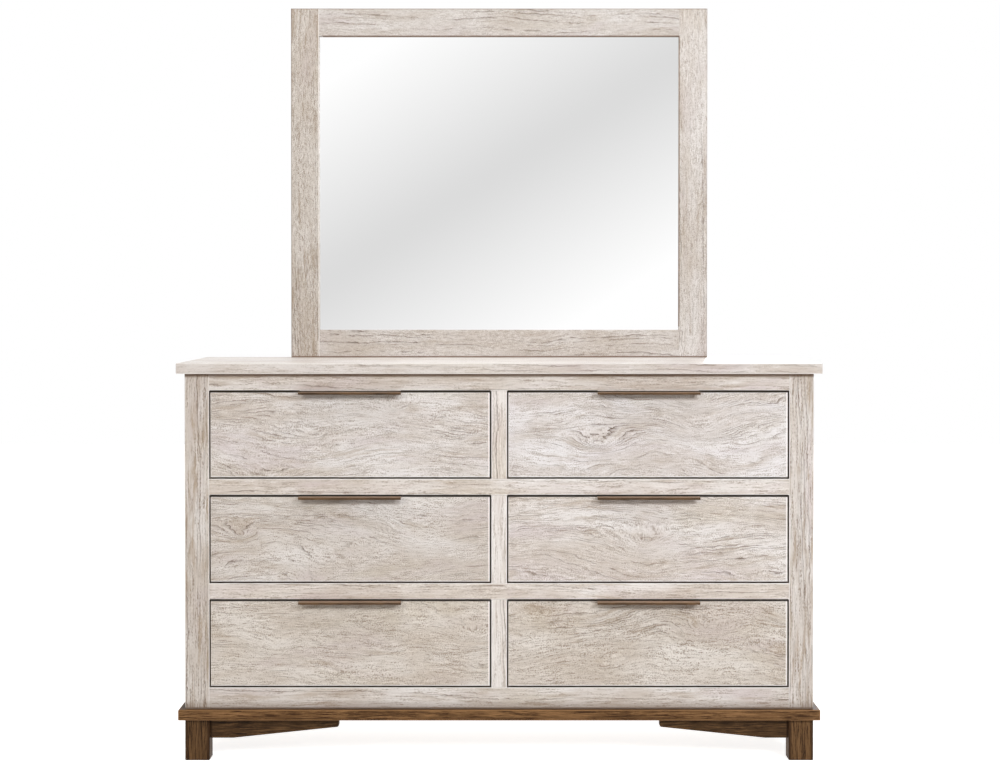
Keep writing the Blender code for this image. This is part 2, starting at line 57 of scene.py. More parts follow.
# Studio light
# Two soft boxes in front at either side, the right one stronger, one behind, and a
# pale overhead sheet.
def soft_box(name, place, target, size, power, colour=(1.0, 1.0, 1.0)):
    light = bpy.data.lights.new(name, 'AREA')
    light.color = colour
    light.shape = 'RECTANGLE'
    light.size, light.size_y = size
    light.energy = power
    lamp = bpy.data.objects.new(name, light)
    lamp.location = place
    lamp.rotation_euler = (Vector(target) - Vector(place)).to_track_quat('-Z', 'Y').to_euler()
    bpy.context.scene.collection.objects.link(lamp)


soft_box("right_soft_box", place=(2.2, -3.8, 2.35), target=(0.0, 0.0, 0.8), size=(0.7, 0.9), power=95,
         colour=(0.98, 1.0, 1.04))
soft_box("left_soft_box", place=(-2.2, -3.8, 2.35), target=(0.0, 0.0, 0.8), size=(0.7, 0.9), power=45,
         colour=(1.0, 0.97, 0.91))
soft_box("overhead_sheet", place=(0.0, -0.6, 3.6), target=(0.0, 0.0, 0.9), size=(3.0, 2.0), power=50)
soft_box("rear_soft_box", place=(0.9, 3.8, 1.9), target=(0.0, 0.2, 0.9), size=(1.6, 1.2), power=60)


# Background
# It is white, and fills the shadows with a warm light. Glossy surfaces see two white
# cards that meet in a leaning grey fold, which the mirror shows from its lower left
# to its upper right.
def add_node(tree, kind, sockets=None, **settings):
    """Shader node with its settings, and its inputs set to values or joined to outputs."""
    node = tree.nodes.new(kind)
    for setting, value in settings.items():
        setattr(node, setting, value)
    for socket, value in (sockets or {}).items():
        if isinstance(value, bpy.types.NodeSocket):
            tree.links.new(value, node.inputs[socket])
        else:
            node.inputs[socket].default_value = value
    return node


def maths(tree, operation, *values):
    return add_node(tree, "ShaderNodeMath", dict(enumerate(values)), operation=operation).outputs[0]


def split(tree, vector):
    return add_node(tree, "ShaderNodeSeparateXYZ", {0: vector}).outputs


def tint(tree, amount, under, over):
    """One colour over another, by an amount from 0 to 1."""
    return add_node(tree, "ShaderNodeMix", {0: amount, 6: under, 7: over}, data_type='RGBA').outputs[2]


AMBIENT = 0.28
AMBIENT_COLOUR = (1.0, 0.90, 0.78, 1.0)
WHITE = (1.0, 1.0, 1.0, 1.0)
FOLD_GREY = 0.719
FOLD_SOFTNESS = 0.035
FOLD_LEAN = 1.6
FOLD_SHIFT = 0.214
CARD_SLOPE = 1.84
CARD_WHITE = 1.053
LEAST_AHEAD = 0.05
world = bpy.data.worlds.new("studio")
bpy.context.scene.world = world
world.use_nodes = True
sky = world.node_tree
sky.nodes.clear()
aim = split(sky, add_node(sky, "ShaderNodeTexCoord").outputs["Generated"])
ahead = maths(sky, 'MAXIMUM', maths(sky, 'MULTIPLY', aim[1], -1.0), LEAST_AHEAD)
leaning = maths(sky, 'DIVIDE', maths(sky, 'MULTIPLY_ADD', aim[2], -FOLD_LEAN, aim[0]), ahead)
from_fold = maths(sky, 'MULTIPLY_ADD', leaning, CARD_SLOPE, FOLD_SHIFT)
rounded = maths(sky, 'SQRT', maths(sky, 'MULTIPLY_ADD', from_fold, from_fold, FOLD_SOFTNESS ** 2))
card = maths(sky, 'MINIMUM', maths(sky, 'ADD', rounded, FOLD_GREY), CARD_WHITE)
rays = add_node(sky, "ShaderNodeLightPath").outputs
shown = maths(sky, 'MAXIMUM', rays["Is Camera Ray"], rays["Is Transmission Ray"])
plain = maths(sky, 'MULTIPLY_ADD', shown, 1.0 - AMBIENT, AMBIENT)
strength = add_node(sky, "ShaderNodeMix", {"Factor": rays["Is Glossy Ray"], "A": plain, "B": card},
                    data_type='FLOAT').outputs[0]
light_colour = tint(sky, rays["Is Diffuse Ray"], WHITE, AMBIENT_COLOUR)
background = add_node(sky, "ShaderNodeBackground", {"Color": light_colour, "Strength": strength})
add_node(sky, "ShaderNodeOutputWorld", {"Surface": background.outputs[0]})

# Floor
# A pale matt sheet. It is lifted to white for the camera and in the mirror, more so
# away from the dresser, and keeps the dresser's faint shadow.
FLOOR_REACH = 9.0
FLOOR_COLOUR = (0.80, 0.80, 0.80, 1.0)
NEAR_DRESSER = 0.9
LIFT_NEAR = 0.85
AWAY_FROM_DRESSER = 2.4
LIFT_AWAY = 0.92
corners = [(-FLOOR_REACH, -FLOOR_REACH, 0), (FLOOR_REACH, -FLOOR_REACH, 0),
           (FLOOR_REACH, FLOOR_REACH, 0), (-FLOOR_REACH, FLOOR_REACH, 0)]
floor_mesh = bpy.data.meshes.new("floor")
floor_mesh.from_pydata(corners, [], [(0, 1, 2, 3)])
floor = bpy.data.objects.new("floor", floor_mesh)
bpy.context.scene.collection.objects.link(floor)
floor_paint = bpy.data.materials.new("pale_floor")
floor_paint.use_nodes = True
tree = floor_paint.node_tree
tree.nodes.clear()
away = add_node(tree, "ShaderNodeVectorMath", {0: add_node(tree, "ShaderNodeTexCoord").outputs["Object"]},
                operation='LENGTH').outputs["Value"]
lift = add_node(tree, "ShaderNodeMapRange",
                {"Value": away, "From Min": NEAR_DRESSER, "From Max": AWAY_FROM_DRESSER,
                 "To Min": LIFT_NEAR, "To Max": LIFT_AWAY}).outputs[0]
rays = add_node(tree, "ShaderNodeLightPath").outputs
seen = maths(tree, 'MAXIMUM', rays["Is Camera Ray"], rays["Is Glossy Ray"])
matt = add_node(tree, "ShaderNodeBsdfDiffuse", {"Color": FLOOR_COLOUR})
glow = add_node(tree, "ShaderNodeEmission", {"Strength": maths(tree, 'MULTIPLY', lift, seen)})
both = add_node(tree, "ShaderNodeAddShader", {0: matt.outputs[0], 1: glow.outputs[0]})
add_node(tree, "ShaderNodeOutputMaterial", {"Surface": both.outputs[0]})
floor_mesh.materials.append(floor_paint)

# Brown base
# Four square feet, a mitred plinth of boards laid flat and two tapered brackets,
# of the same flat-sawn hardwood as the case under a walnut stain and satin lacquer.
SOCKET_KINDS = {float: "NodeSocketFloat", Vector: "NodeSocketVector", tuple: "NodeSocketColor"}


def start_group(name, inputs, outputs):
    """Node group whose inputs have usual values, of whose kind they are, and named outputs."""
    group = bpy.data.node_groups.new(name, "ShaderNodeTree")
    for label, usual in inputs.items():
        kind = SOCKET_KINDS[type(usual)]
        group.interface.new_socket(label, in_out='INPUT', socket_type=kind).default_value = usual
    for label, kind in outputs.items():
        group.interface.new_socket(label, in_out='OUTPUT', socket_type=SOCKET_KINDS[kind])
    return group, group.nodes.new("NodeGroupInput").outputs, group.nodes.new("NodeGroupOutput").inputs


def vector_maths(tree, operation, *vectors):
    sockets = dict(enumerate(vectors))
    return add_node(tree, "ShaderNodeVectorMath", sockets, operation=operation).outputs[0]


def multiplied(tree, vector, amount):
    """A colour or a vector with all its parts multiplied by one amount."""
    sockets = {0: vector, "Scale": amount}
    return add_node(tree, "ShaderNodeVectorMath", sockets, operation='SCALE').outputs[0]


def noise(tree, vector, waves, detail=1.0, roughness=0.5, distortion=0.0):
    """Soft noise with so many waves to the metre along each axis."""
    sockets = {"Vector": vector_maths(tree, 'MULTIPLY', vector, waves), "Scale": 1.0, "Detail": detail,
               "Roughness": roughness, "Distortion": distortion}
    return add_node(tree, "ShaderNodeTexNoise", sockets).outputs


def stretch(tree, value, low, high, to_low=0.0, to_high=1.0):
    """Takes the range from low to high to another range, with soft ends."""
    sockets = {"Value": value, "From Min": low, "From Max": high, "To Min": to_low, "To Max": to_high}
    return add_node(tree, "ShaderNodeMapRange", sockets, interpolation_type='SMOOTHSTEP').outputs[0]


def swing(tree, value, reach):
    """Noise of 0 to 1 turned into a shift to either side."""
    return maths(tree, 'MULTIPLY', maths(tree, 'MULTIPLY_ADD', value, 2.0, -1.0), reach)


# How a flat-sawn board looks: growth rings drawn out into long bends and arcs by sway,
# curl and knots, with fibres, fine speckle, streaks and pores that follow the bends.
# The vector is in metres: X along the grain, Y across the face, Z into the board. The
# waves and cells are so many to the metre along these three, and seeds lie a step apart.
# Rings slant by a share of the length, and wander by a count of rings.
SEED_STEP = (1.37, 2.11, 3.73)
SWAY_WAVES = (2.8, 6.0, 6.0)
CURL_WAVES = (10.0, 26.0, 26.0)
TREMBLE_WAVES = (60.0, 150.0, 150.0)
TREMBLE = 0.0027
KNOT_CELLS = (4.2, 9.0, 1.0)
KNOT_REACH = 0.46
KNOT_TAPER = 1.5
RING_SLANT = 0.02
RING_DRIFT = 1.5
RING_SHARPNESS = 4.0
BREAK_WAVES = (18.0, 110.0, 110.0)
FIBRE_WAVES = (34.0, 400.0, 360.0)
SPECKLE_WAVES = (340.0, 430.0, 430.0)
STREAK_WAVES = (8.0, 78.0, 78.0)
PORE_WAVES = (40.0, 480.0, 420.0)
CLOUD_WAVES = (3.4, 10.0, 10.0)
figure, given, result = start_group(
    "board_figure",
    {"Vector": Vector(), "Seed": 0.0, "Ring Spacing": 0.007, "Sway": 0.03, "Curl": 0.012, "Knots": 0.022,
     "Fibre Length": 1.0, "Quiet Rings": 0.2, "Speckle": 0.5},
    {"Rings": float, "Fibre": float, "Pores": float, "Streaks": float, "Clouds": Vector})
log_place = multiplied(figure, SEED_STEP, given["Seed"])
cut_place = vector_maths(figure, 'ADD', given["Vector"], log_place)
along, across, depth = split(figure, given["Vector"])[:3]
slow = split(figure, noise(figure, cut_place, SWAY_WAVES, 0.5)["Color"])
quick = split(figure, noise(figure, cut_place, CURL_WAVES, 2.5)["Color"])
tremble = split(figure, noise(figure, cut_place, TREMBLE_WAVES)["Color"])
knot = add_node(figure, "ShaderNodeTexVoronoi",
                {"Vector": vector_maths(figure, 'MULTIPLY', cut_place, KNOT_CELLS), "Scale": 1.0},
                voronoi_dimensions='2D').outputs
knot_slope = maths(figure, 'MULTIPLY_ADD', knot["Distance"], -1.0 / KNOT_REACH, 1.0)
knot_rise = maths(figure, 'POWER', maths(figure, 'MAXIMUM', knot_slope, 0.0), KNOT_TAPER)
knot_rise = maths(figure, 'MULTIPLY', knot_rise, stretch(figure, split(figure, knot["Color"])[0], 0.45, 0.75))
bent = maths(figure, 'ADD', across, swing(figure, slow[0], given["Sway"]))
bent = maths(figure, 'ADD', bent, swing(figure, quick[0], given["Curl"]))
bent = maths(figure, 'MULTIPLY_ADD', knot_rise, given["Knots"], bent)
bent = maths(figure, 'ADD', bent, swing(figure, tremble[0], TREMBLE))

inward = maths(figure, 'MULTIPLY_ADD', along, RING_SLANT, maths(figure, 'ADD', bent, depth))
turns = maths(figure, 'ADD', maths(figure, 'DIVIDE', inward, given["Ring Spacing"]),
              swing(figure, slow[2], RING_DRIFT))
ring_line = maths(figure, 'POWER', maths(figure, 'FRACT', turns), RING_SHARPNESS)
ring_number = maths(figure, 'ADD', maths(figure, 'FLOOR', turns), given["Seed"])
ring_draw = add_node(figure, "ShaderNodeTexWhiteNoise", {"W": ring_number}, noise_dimensions='1D').outputs
ring_weight = stretch(figure, ring_draw["Value"], 0.15, 0.85, 0.08, 1.0)

followed = maths(figure, 'MULTIPLY_ADD', bent, 0.5, maths(figure, 'MULTIPLY', across, 0.5))
drawn_out = maths(figure, 'DIVIDE', along, given["Fibre Length"])
with_grain = add_node(figure, "ShaderNodeCombineXYZ", {0: drawn_out, 1: followed, 2: depth}).outputs[0]
with_grain = vector_maths(figure, 'ADD', with_grain, log_place)
broken = stretch(figure, noise(figure, with_grain, BREAK_WAVES)[0], 0.36, 0.56)
clusters = maths(figure, 'MULTIPLY_ADD', quick[1], 0.5, maths(figure, 'MULTIPLY', slow[1], 0.5))
zone = stretch(figure, clusters, 0.46, 0.55, given["Quiet Rings"], 1.0)
rings = maths(figure, 'MULTIPLY', maths(figure, 'MULTIPLY', ring_line, ring_weight),
              maths(figure, 'MULTIPLY', broken, zone))

fibre = noise(figure, with_grain, FIBRE_WAVES, 2.0, 0.60)[0]
speckle = noise(figure, with_grain, SPECKLE_WAVES)[0]
fibre = maths(figure, 'MULTIPLY_ADD', maths(figure, 'SUBTRACT', speckle, 0.5), given["Speckle"], fibre)
lively = stretch(figure, quick[2], 0.40, 0.62, 0.64, 1.18)
fibre = maths(figure, 'MULTIPLY_ADD', maths(figure, 'SUBTRACT', fibre, 0.5), lively, 0.5)
pores = stretch(figure, noise(figure, with_grain, PORE_WAVES)[0], 0.60, 0.72)

streaky = add_node(figure, "ShaderNodeCombineXYZ", {0: along, 1: bent, 2: depth}).outputs[0]
streaky = vector_maths(figure, 'ADD', streaky, log_place)
streaks = stretch(figure, noise(figure, streaky, STREAK_WAVES, 2.5, 0.6)[0], 0.48, 0.72)
streaks = maths(figure, 'MULTIPLY', streaks, zone)
clouds = noise(figure, cut_place, CLOUD_WAVES, 2.5, 0.6, 0.5)["Color"]
for label, value in {"Rings": rings, "Fibre": fibre, "Pores": pores, "Streaks": streaks,
                     "Clouds": clouds}.items():
    figure.links.new(value, result[label])

# The walnut stain: darker in the rings, streaks and pores, and rubbed pale at the edges,
# from one distance in metres to another.
STAIN_MID = (0.136, 0.070, 0.028, 1.0)
STAIN_LIGHT = (0.282, 0.152, 0.066, 1.0)
STAIN_DARK = (0.026, 0.010, 0.003, 1.0)
STREAK_STAIN = 0.4
FIBRE_STAIN = 0.9
RING_STAIN = 0.7
PORE_STAIN = 0.6
STAIN_EDGE = (0.0026, 0.0010)
FINISH = {"Color": tuple, "Roughness": float, "Height": float}
stain, given, result = start_group(
    "walnut_stain",
    {"Rings": 0.0, "Fibre": 0.5, "Pores": 0.0, "Streaks": 0.0, "Clouds": Vector(), "Edge": 1.0,
     "Lightness": 1.0, "Rub": 0.4, "Seam": 0.0},
    FINISH)
cloud = split(stain, given["Clouds"])
colour = tint(stain, stretch(stain, cloud[0], 0.35, 0.65, 0.0, 0.5), STAIN_MID, STAIN_LIGHT)
colour = tint(stain, stretch(stain, cloud[1], 0.50, 0.70, 0.0, 0.4), colour, STAIN_DARK)
colour = tint(stain, maths(stain, 'MULTIPLY', given["Streaks"], STREAK_STAIN), colour, STAIN_DARK)
colour = tint(stain, stretch(stain, given["Fibre"], 0.50, 0.64), colour, STAIN_LIGHT)
colour = tint(stain, stretch(stain, given["Fibre"], 0.49, 0.36, 0.0, FIBRE_STAIN), colour, STAIN_DARK)
colour = tint(stain, maths(stain, 'MULTIPLY', given["Rings"], RING_STAIN), colour, STAIN_DARK)
colour = tint(stain, maths(stain, 'MULTIPLY', given["Pores"], PORE_STAIN), colour, STAIN_DARK)
# Painted shade: the seams darken the stain towards STAIN_DARK where the base lies in shade.
colour = tint(stain, given["Seam"], multiplied(stain, colour, given["Lightness"]), STAIN_DARK)
rubbed = maths(stain, 'MULTIPLY', stretch(stain, given["Edge"], *STAIN_EDGE), given["Rub"])
stain.links.new(tint(stain, rubbed, colour, STAIN_LIGHT), result["Color"])
stain.links.new(maths(stain, 'MULTIPLY_ADD', given["Fibre"], -0.15, 0.55), result["Roughness"])
stain.links.new(maths(stain, 'SUBTRACT', given["Fibre"], given["Pores"]), result["Height"])

# Distance from the nearest long or short edge of a board, whose corners are given.
edges, given, result = start_group(
    "board_edges", {"Vector": Vector(), "Low": Vector(), "High": Vector()}, {"Distance": float})
from_low = vector_maths(edges, 'SUBTRACT', given["Vector"], given["Low"])
from_high = vector_maths(edges, 'SUBTRACT', given["High"], given["Vector"])
sides = split(edges, vector_maths(edges, 'MINIMUM', from_low, from_high))
middle = maths(edges, 'MINIMUM', maths(edges, 'MAXIMUM', sides[0], sides[1]), sides[2])
distance = maths(edges, 'MAXIMUM', maths(edges, 'MINIMUM', sides[0], sides[1]), middle)
edges.links.new(distance, result["Distance"])

# How much of a mark stays round a box that a board meets, mostly painted shade, also painted
# highlight and wear: all of it within a third of its reach, then less and less.
seam, given, result = start_group(
    "seam_painted_light_and_wear",
    {"Vector": Vector(), "Centre": Vector(), "Half Size": Vector(), "Reach": 0.004, "Strength": 1.0},
    {"Amount": float})
from_centre = vector_maths(seam, 'ABSOLUTE', vector_maths(seam, 'SUBTRACT', given["Vector"], given["Centre"]))
outside = split(seam, vector_maths(seam, 'SUBTRACT', from_centre, given["Half Size"]))
farthest = maths(seam, 'MAXIMUM', outside[0], maths(seam, 'MAXIMUM', outside[1], outside[2]))
full_reach = maths(seam, 'MULTIPLY', given["Reach"], 0.33)
left_over = stretch(seam, farthest, given["Reach"], full_reach, 0.0, given["Strength"])
seam.links.new(left_over, result["Amount"])


def along_seams(tree, position, seams):
    """The most that any seam leaves, each given by a box, its reach and its strength."""
    most = None
    for (low, high), reach, strength in seams:
        one = add_node(tree, "ShaderNodeGroup", {"Vector": position, "Centre": (low + high) / 2,
                                                 "Half Size": (high - low) / 2, "Reach": reach,
                                                 "Strength": strength}, node_tree=seam).outputs[0]
        most = one if most is None else maths(tree, 'MAXIMUM', one, most)
    return most


FAR = 9.0


def line_at(x=None, y=None, z=None):
    """The low and high corner of an endless line or plane through the given places."""
    return (Vector([-FAR if place is None else place for place in (x, y, z)]),
            Vector([FAR if place is None else place for place in (x, y, z)]))


AXIS_X = Vector((1, 0, 0))
AXIS_Y = Vector((0, 1, 0))
AXIS_Z = Vector((0, 0, 1))


def start_board(name, node, along_axis, across_axis, seed, grain):
    """Material for one board, with its figure turned to the board's length."""
    low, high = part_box(node)
    turn = Matrix((along_axis, across_axis, along_axis.cross(across_axis)))
    material = bpy.data.materials.new(name)
    material.use_nodes = True
    tree = material.node_tree
    position = add_node(tree, "ShaderNodeTexCoord").outputs["Object"]
    placed = add_node(tree, "ShaderNodeMapping",
                      {"Vector": position, "Location": -(turn @ ((low + high) / 2)),
                       "Rotation": turn.to_euler()}).outputs[0]
    board = add_node(tree, "ShaderNodeGroup", node_tree=figure)
    tree.links.new(placed, board.inputs["Vector"])
    for label, value in {"Seed": seed, **grain}.items():
        board.inputs[label].default_value = value
    return material, position, board.outputs


def add_finish(material, group, board, values):
    """Places a finish on a board's figure, with its own values."""
    surface = add_node(material.node_tree, "ShaderNodeGroup", node_tree=group)
    for label in ("Rings", "Fibre", "Pores", "Streaks", "Clouds"):
        if label in surface.inputs:
            material.node_tree.links.new(board[label], surface.inputs[label])
    for label, value in values.items():
        surface.inputs[label].default_value = value
    return surface


def find_edges(tree, position, surface, low, high):
    """Tells a finish how far each point is from the edges of a board with these corners."""
    near = add_node(tree, "ShaderNodeGroup", node_tree=edges)
    tree.links.new(position, near.inputs["Vector"])
    near.inputs["Low"].default_value = low
    near.inputs["High"].default_value = high
    tree.links.new(near.outputs["Distance"], surface.inputs["Edge"])


def add_seams(tree, position, surface, label, seams):
    """Feeds what the seams leave to one input of a finish, where there are any."""
    if seams:
        tree.links.new(along_seams(tree, position, seams), surface.inputs[label])


RELIEF_DEPTH = 0.0005


def finish_board(material, node, surface, specular, relief):
    """Joins a finish to the board's shader and puts the material on the board."""
    tree = material.node_tree
    shader = tree.nodes["Principled BSDF"]
    shader.inputs["Specular IOR Level"].default_value = specular
    bump = add_node(tree, "ShaderNodeBump", {"Height": surface.outputs["Height"], "Strength": relief,
                                             "Distance": RELIEF_DEPTH})
    tree.links.new(surface.outputs["Color"], shader.inputs["Base Color"])
    tree.links.new(surface.outputs["Roughness"], shader.inputs["Roughness"])
    tree.links.new(bump.outputs[0], shader.inputs["Normal"])
    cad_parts[node].data.materials.clear()
    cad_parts[node].data.materials.append(material)


# Each seam below is a box that a board meets or an edge of its own, followed by how far
# its painted shade reaches, in metres, and how strong it is.
CASE_HIGH = Vector((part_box("right_side_panel")[1].x, *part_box("back_panel")[1].yz))
CASE_BOX = (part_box("left_front_stile")[0], CASE_HIGH)
FOOT_CORNER_SHADE = (0.009, 0.75)
BRACKET_SHADE_AT_FOOT = (0.006, 0.8)
BRACKET_SHADE_AT_PLINTH = (0.005, 0.5)
PLINTH_UNDERSIDE_SHADE = (0.017, 0.45)
PLINTH_SHADE_AT_CASE = (0.020, 0.75)
PLINTH_LEFT_END_SHADE = (0.20, 0.36)
BASE_GRAIN = {"Ring Spacing": 0.005, "Sway": 0.006, "Curl": 0.002, "Knots": 0.0, "Fibre Length": 1.8,
              "Quiet Rings": 0.5, "Speckle": 0.15}
# The brackets and feet are darker than the plinth, partly painted shade under the plinth, and the front left
# foot is darker than the front right one, painted shade from the weaker left lamp.
base_boards = {"plinth_front": (AXIS_X, 1.33), "plinth_rear": (AXIS_X, 1.1), "plinth_left": (AXIS_Y, 1.1),
               "plinth_right": (AXIS_Y, 1.1), "left_bracket": (AXIS_X, 0.46), "right_bracket": (AXIS_X, 0.50),
               "front_left_foot": (AXIS_Z, 0.57), "front_right_foot": (AXIS_Z, 0.67),
               "rear_left_foot": (AXIS_Z, 0.60), "rear_right_foot": (AXIS_Z, 0.60)}
for number, (node, (along_axis, lightness)) in enumerate(base_boards.items()):
    across_axis = AXIS_Z if along_axis is AXIS_X else AXIS_X
    material, position, board = start_board(
        f"walnut_{node}", node, along_axis, across_axis, 3.0 + number, BASE_GRAIN)
    low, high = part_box(node)
    if "foot" in node:
        seams = [(line_at(x=x, y=y), *FOOT_CORNER_SHADE) for x in (low.x, high.x) for y in (low.y, high.y)]
    elif "bracket" in node:
        side = node.split("_")[0]
        seams = [(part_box(f"front_{side}_foot"), *BRACKET_SHADE_AT_FOOT),
                 (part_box("plinth_front"), *BRACKET_SHADE_AT_PLINTH)]
    else:
        seams = [(line_at(z=low.z), *PLINTH_UNDERSIDE_SHADE), (CASE_BOX, *PLINTH_SHADE_AT_CASE),
                 (line_at(x=low.x), *PLINTH_LEFT_END_SHADE)]
    rub = 0.8 if "plinth" in node else 0.0
    surface = add_finish(material, stain, board, {"Lightness": lightness, "Rub": rub})
    find_edges(material.node_tree, position, surface, low, high)
    add_seams(material.node_tree, position, surface, "Seam", seams)
    finish_board(material, node, surface, specular=0.10, relief=0.35)

# Whitewashed case
# The case is a face frame of stiles, rails and mullions on two side panels, under
# a solid top. The wood is brushed, washed with thin white paint and rubbed over
# with a warm glaze that stays in its pores. Its inner faces are left bare.
PAINT_PALE = (0.742, 0.708, 0.684, 1.0)
PAINT_GREIGE = (0.600, 0.540, 0.488, 1.0)
PAINT_LAVENDER = (0.605, 0.535, 0.525, 1.0)
PAINT_KHAKI = (0.555, 0.490, 0.390, 1.0)
PAINT_WHITE = (0.910, 0.885, 0.865, 1.0)
GLAZE_TAN = (0.435, 0.350, 0.272, 1.0)
GLAZE_GREY = (0.335, 0.272, 0.222, 1.0)
GLAZE_BROWN = (0.112, 0.067, 0.040, 1.0)
SHADE_UMBER = (0.145, 0.078, 0.037, 1.0)
GAP_SHADE_BLACK = (0.018, 0.011, 0.006, 1.0)
BARE_LIGHT = (0.610, 0.430, 0.260, 1.0)
BARE_DARK = (0.420, 0.260, 0.140, 1.0)
BARE_RINGS = 0.6
STREAK_GLAZE = 0.62
FIBRE_GLAZE = 0.72
PORE_GLAZE = 0.18
WASH_EDGE = (0.0030, 0.0012)
GREEN_LOSS = 0.3

# Thin paint in drifting tones, then the glaze in streaks, fibres, pores and rings, then
# what rubbing and yellowing did to both, then pale lines, and last painted shade at joints and in gaps.
# Yellowing takes blue away, and a smaller share of the green.
wash, given, result = start_group(
    "whitewash",
    {"Rings": 0.0, "Fibre": 0.5, "Pores": 0.0, "Streaks": 0.0, "Clouds": Vector(), "Edge": 1.0, "Glaze": 1.0,
     "Tone": 0.0, "Rub": 0.6, "Seam": 0.0, "Wear And Highlight": 0.0, "Gap Shade": 0.0, "Lightness": 1.0, "Yellow": 0.0,
     "Matt": 0.62, "Bare": 0.0},
    FINISH)
cloud = split(wash, given["Clouds"])
warmth = stretch(wash, maths(wash, 'ADD', cloud[0], given["Tone"]), 0.34, 0.66)
paint = tint(wash, warmth, PAINT_PALE, PAINT_GREIGE)
paint = tint(wash, stretch(wash, cloud[1], 0.50, 0.72, 0.0, 0.75), paint, PAINT_LAVENDER)
paint = tint(wash, stretch(wash, cloud[2], 0.54, 0.74, 0.0, 0.40), paint, PAINT_KHAKI)
streaks = maths(wash, 'MULTIPLY', given["Streaks"], maths(wash, 'MULTIPLY', given["Glaze"], STREAK_GLAZE))
paint = tint(wash, streaks, paint, GLAZE_TAN)
paint = tint(wash, stretch(wash, given["Fibre"], 0.54, 0.74, 0.0, 0.40), paint, PAINT_WHITE)
dusk = maths(wash, 'MULTIPLY', stretch(wash, given["Fibre"], 0.48, 0.30, 0.0, FIBRE_GLAZE), given["Glaze"])
paint = tint(wash, dusk, paint, GLAZE_GREY)
filled = maths(wash, 'MULTIPLY', given["Pores"], maths(wash, 'MULTIPLY', given["Glaze"], PORE_GLAZE))
paint = tint(wash, filled, paint, GLAZE_BROWN)
paint = tint(wash, given["Rings"], paint, GLAZE_BROWN)
rubbed = maths(wash, 'MULTIPLY', stretch(wash, given["Edge"], *WASH_EDGE), given["Rub"])
paint = tint(wash, rubbed, paint, PAINT_WHITE)
aged = add_node(wash, "ShaderNodeCombineXYZ",
                {0: 1.0, 1: maths(wash, 'MULTIPLY_ADD', given["Yellow"], -GREEN_LOSS, 1.0),
                 2: maths(wash, 'SUBTRACT', 1.0, given["Yellow"])}).outputs[0]
paint = vector_maths(wash, 'MULTIPLY', multiplied(wash, paint, given["Lightness"]), aged)
# Painted light and shade: the pale lines are partly wear and partly painted highlight, the seams add painted
# shade in umber and the gaps near-black painted shade.
paint = tint(wash, given["Wear And Highlight"], paint, PAINT_WHITE)
paint = tint(wash, given["Seam"], paint, SHADE_UMBER)
paint = tint(wash, given["Gap Shade"], paint, GAP_SHADE_BLACK)
bare = tint(wash, stretch(wash, given["Fibre"], 0.30, 0.65), BARE_DARK, BARE_LIGHT)
bare = tint(wash, maths(wash, 'MULTIPLY', given["Rings"], BARE_RINGS), bare, BARE_DARK)
wash.links.new(tint(wash, given["Bare"], paint, bare), result["Color"])
wash.links.new(maths(wash, 'MULTIPLY_ADD', given["Fibre"], -0.20, given["Matt"]), result["Roughness"])
hollows = maths(wash, 'ADD', given["Rings"], given["Pores"])
wash.links.new(maths(wash, 'SUBTRACT', given["Fibre"], hollows), result["Height"])

# Inside the case the wash ends in a ragged edge, and the gaps get painted shade just behind the front.
RAGGED_EDGE = 0.004
SOFT_EDGE = 0.0006
GAP_SHADE_FADE = 0.0015
GAP_SHADE_STRENGTH = 0.95


def whitewash_board(node, along_axis, across_axis, seed, grain, bare_behind=None, bare_within=FAR,
                    dark_behind=None, free_ends=True, seams=(), wear_and_highlights=(), gaps=(), specular=0.35, **values):
    """Whitewashes a board on all faces but those inside the case or behind the mirror,
    with painted shade deep in the gaps round the drawers."""
    material, position, board = start_board(
        f"whitewash_{node}", node, along_axis, across_axis, seed, grain)
    tree = material.node_tree
    surface = add_finish(material, wash, board, values)
    low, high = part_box(node)
    if not free_ends:
        low, high = low - along_axis, high + along_axis
    find_edges(tree, position, surface, low, high)
    for label, places in (("Seam", seams), ("Wear And Highlight", wear_and_highlights), ("Gap Shade", gaps)):
        add_seams(tree, position, surface, label, places)
    if bare_behind is not None:
        place = split(tree, position)
        ragged = maths(tree, 'MULTIPLY_ADD', board["Fibre"], RAGGED_EDGE,
                       maths(tree, 'SUBTRACT', place[1], RAGGED_EDGE / 2))
        inner = stretch(tree, maths(tree, 'ABSOLUTE', place[0]), bare_within + SOFT_EDGE, bare_within)
        behind = stretch(tree, ragged, bare_behind, bare_behind + SOFT_EDGE)
        tree.links.new(maths(tree, 'MULTIPLY', inner, behind), surface.inputs["Bare"])
        if dark_behind is not None:
            deep = stretch(tree, place[1], dark_behind, dark_behind + GAP_SHADE_FADE, 0.0, GAP_SHADE_STRENGTH)
            deep = maths(tree, 'MULTIPLY', inner, deep)
            if gaps:
                deep = maths(tree, 'MAXIMUM', deep, surface.inputs["Gap Shade"].links[0].from_socket)
            tree.links.new(deep, surface.inputs["Gap Shade"])
    finish_board(material, node, surface, specular, relief=0.45)


STRAIGHT = {"Ring Spacing": 0.008, "Sway": 0.014, "Curl": 0.004, "Knots": 0.006, "Fibre Length": 1.6,
            "Quiet Rings": 0.6}
UPRIGHT = {**STRAIGHT, "Ring Spacing": 0.0075, "Fibre Length": 2.2, "Quiet Rings": 1.0}
WILD = {"Ring Spacing": 0.0064, "Sway": 0.078, "Curl": 0.015, "Knots": 0.050, "Fibre Length": 0.9,
        "Quiet Rings": 0.3, "Speckle": 1.0}
TOP_GRAIN = {**STRAIGHT, "Sway": 0.02, "Curl": 0.008}
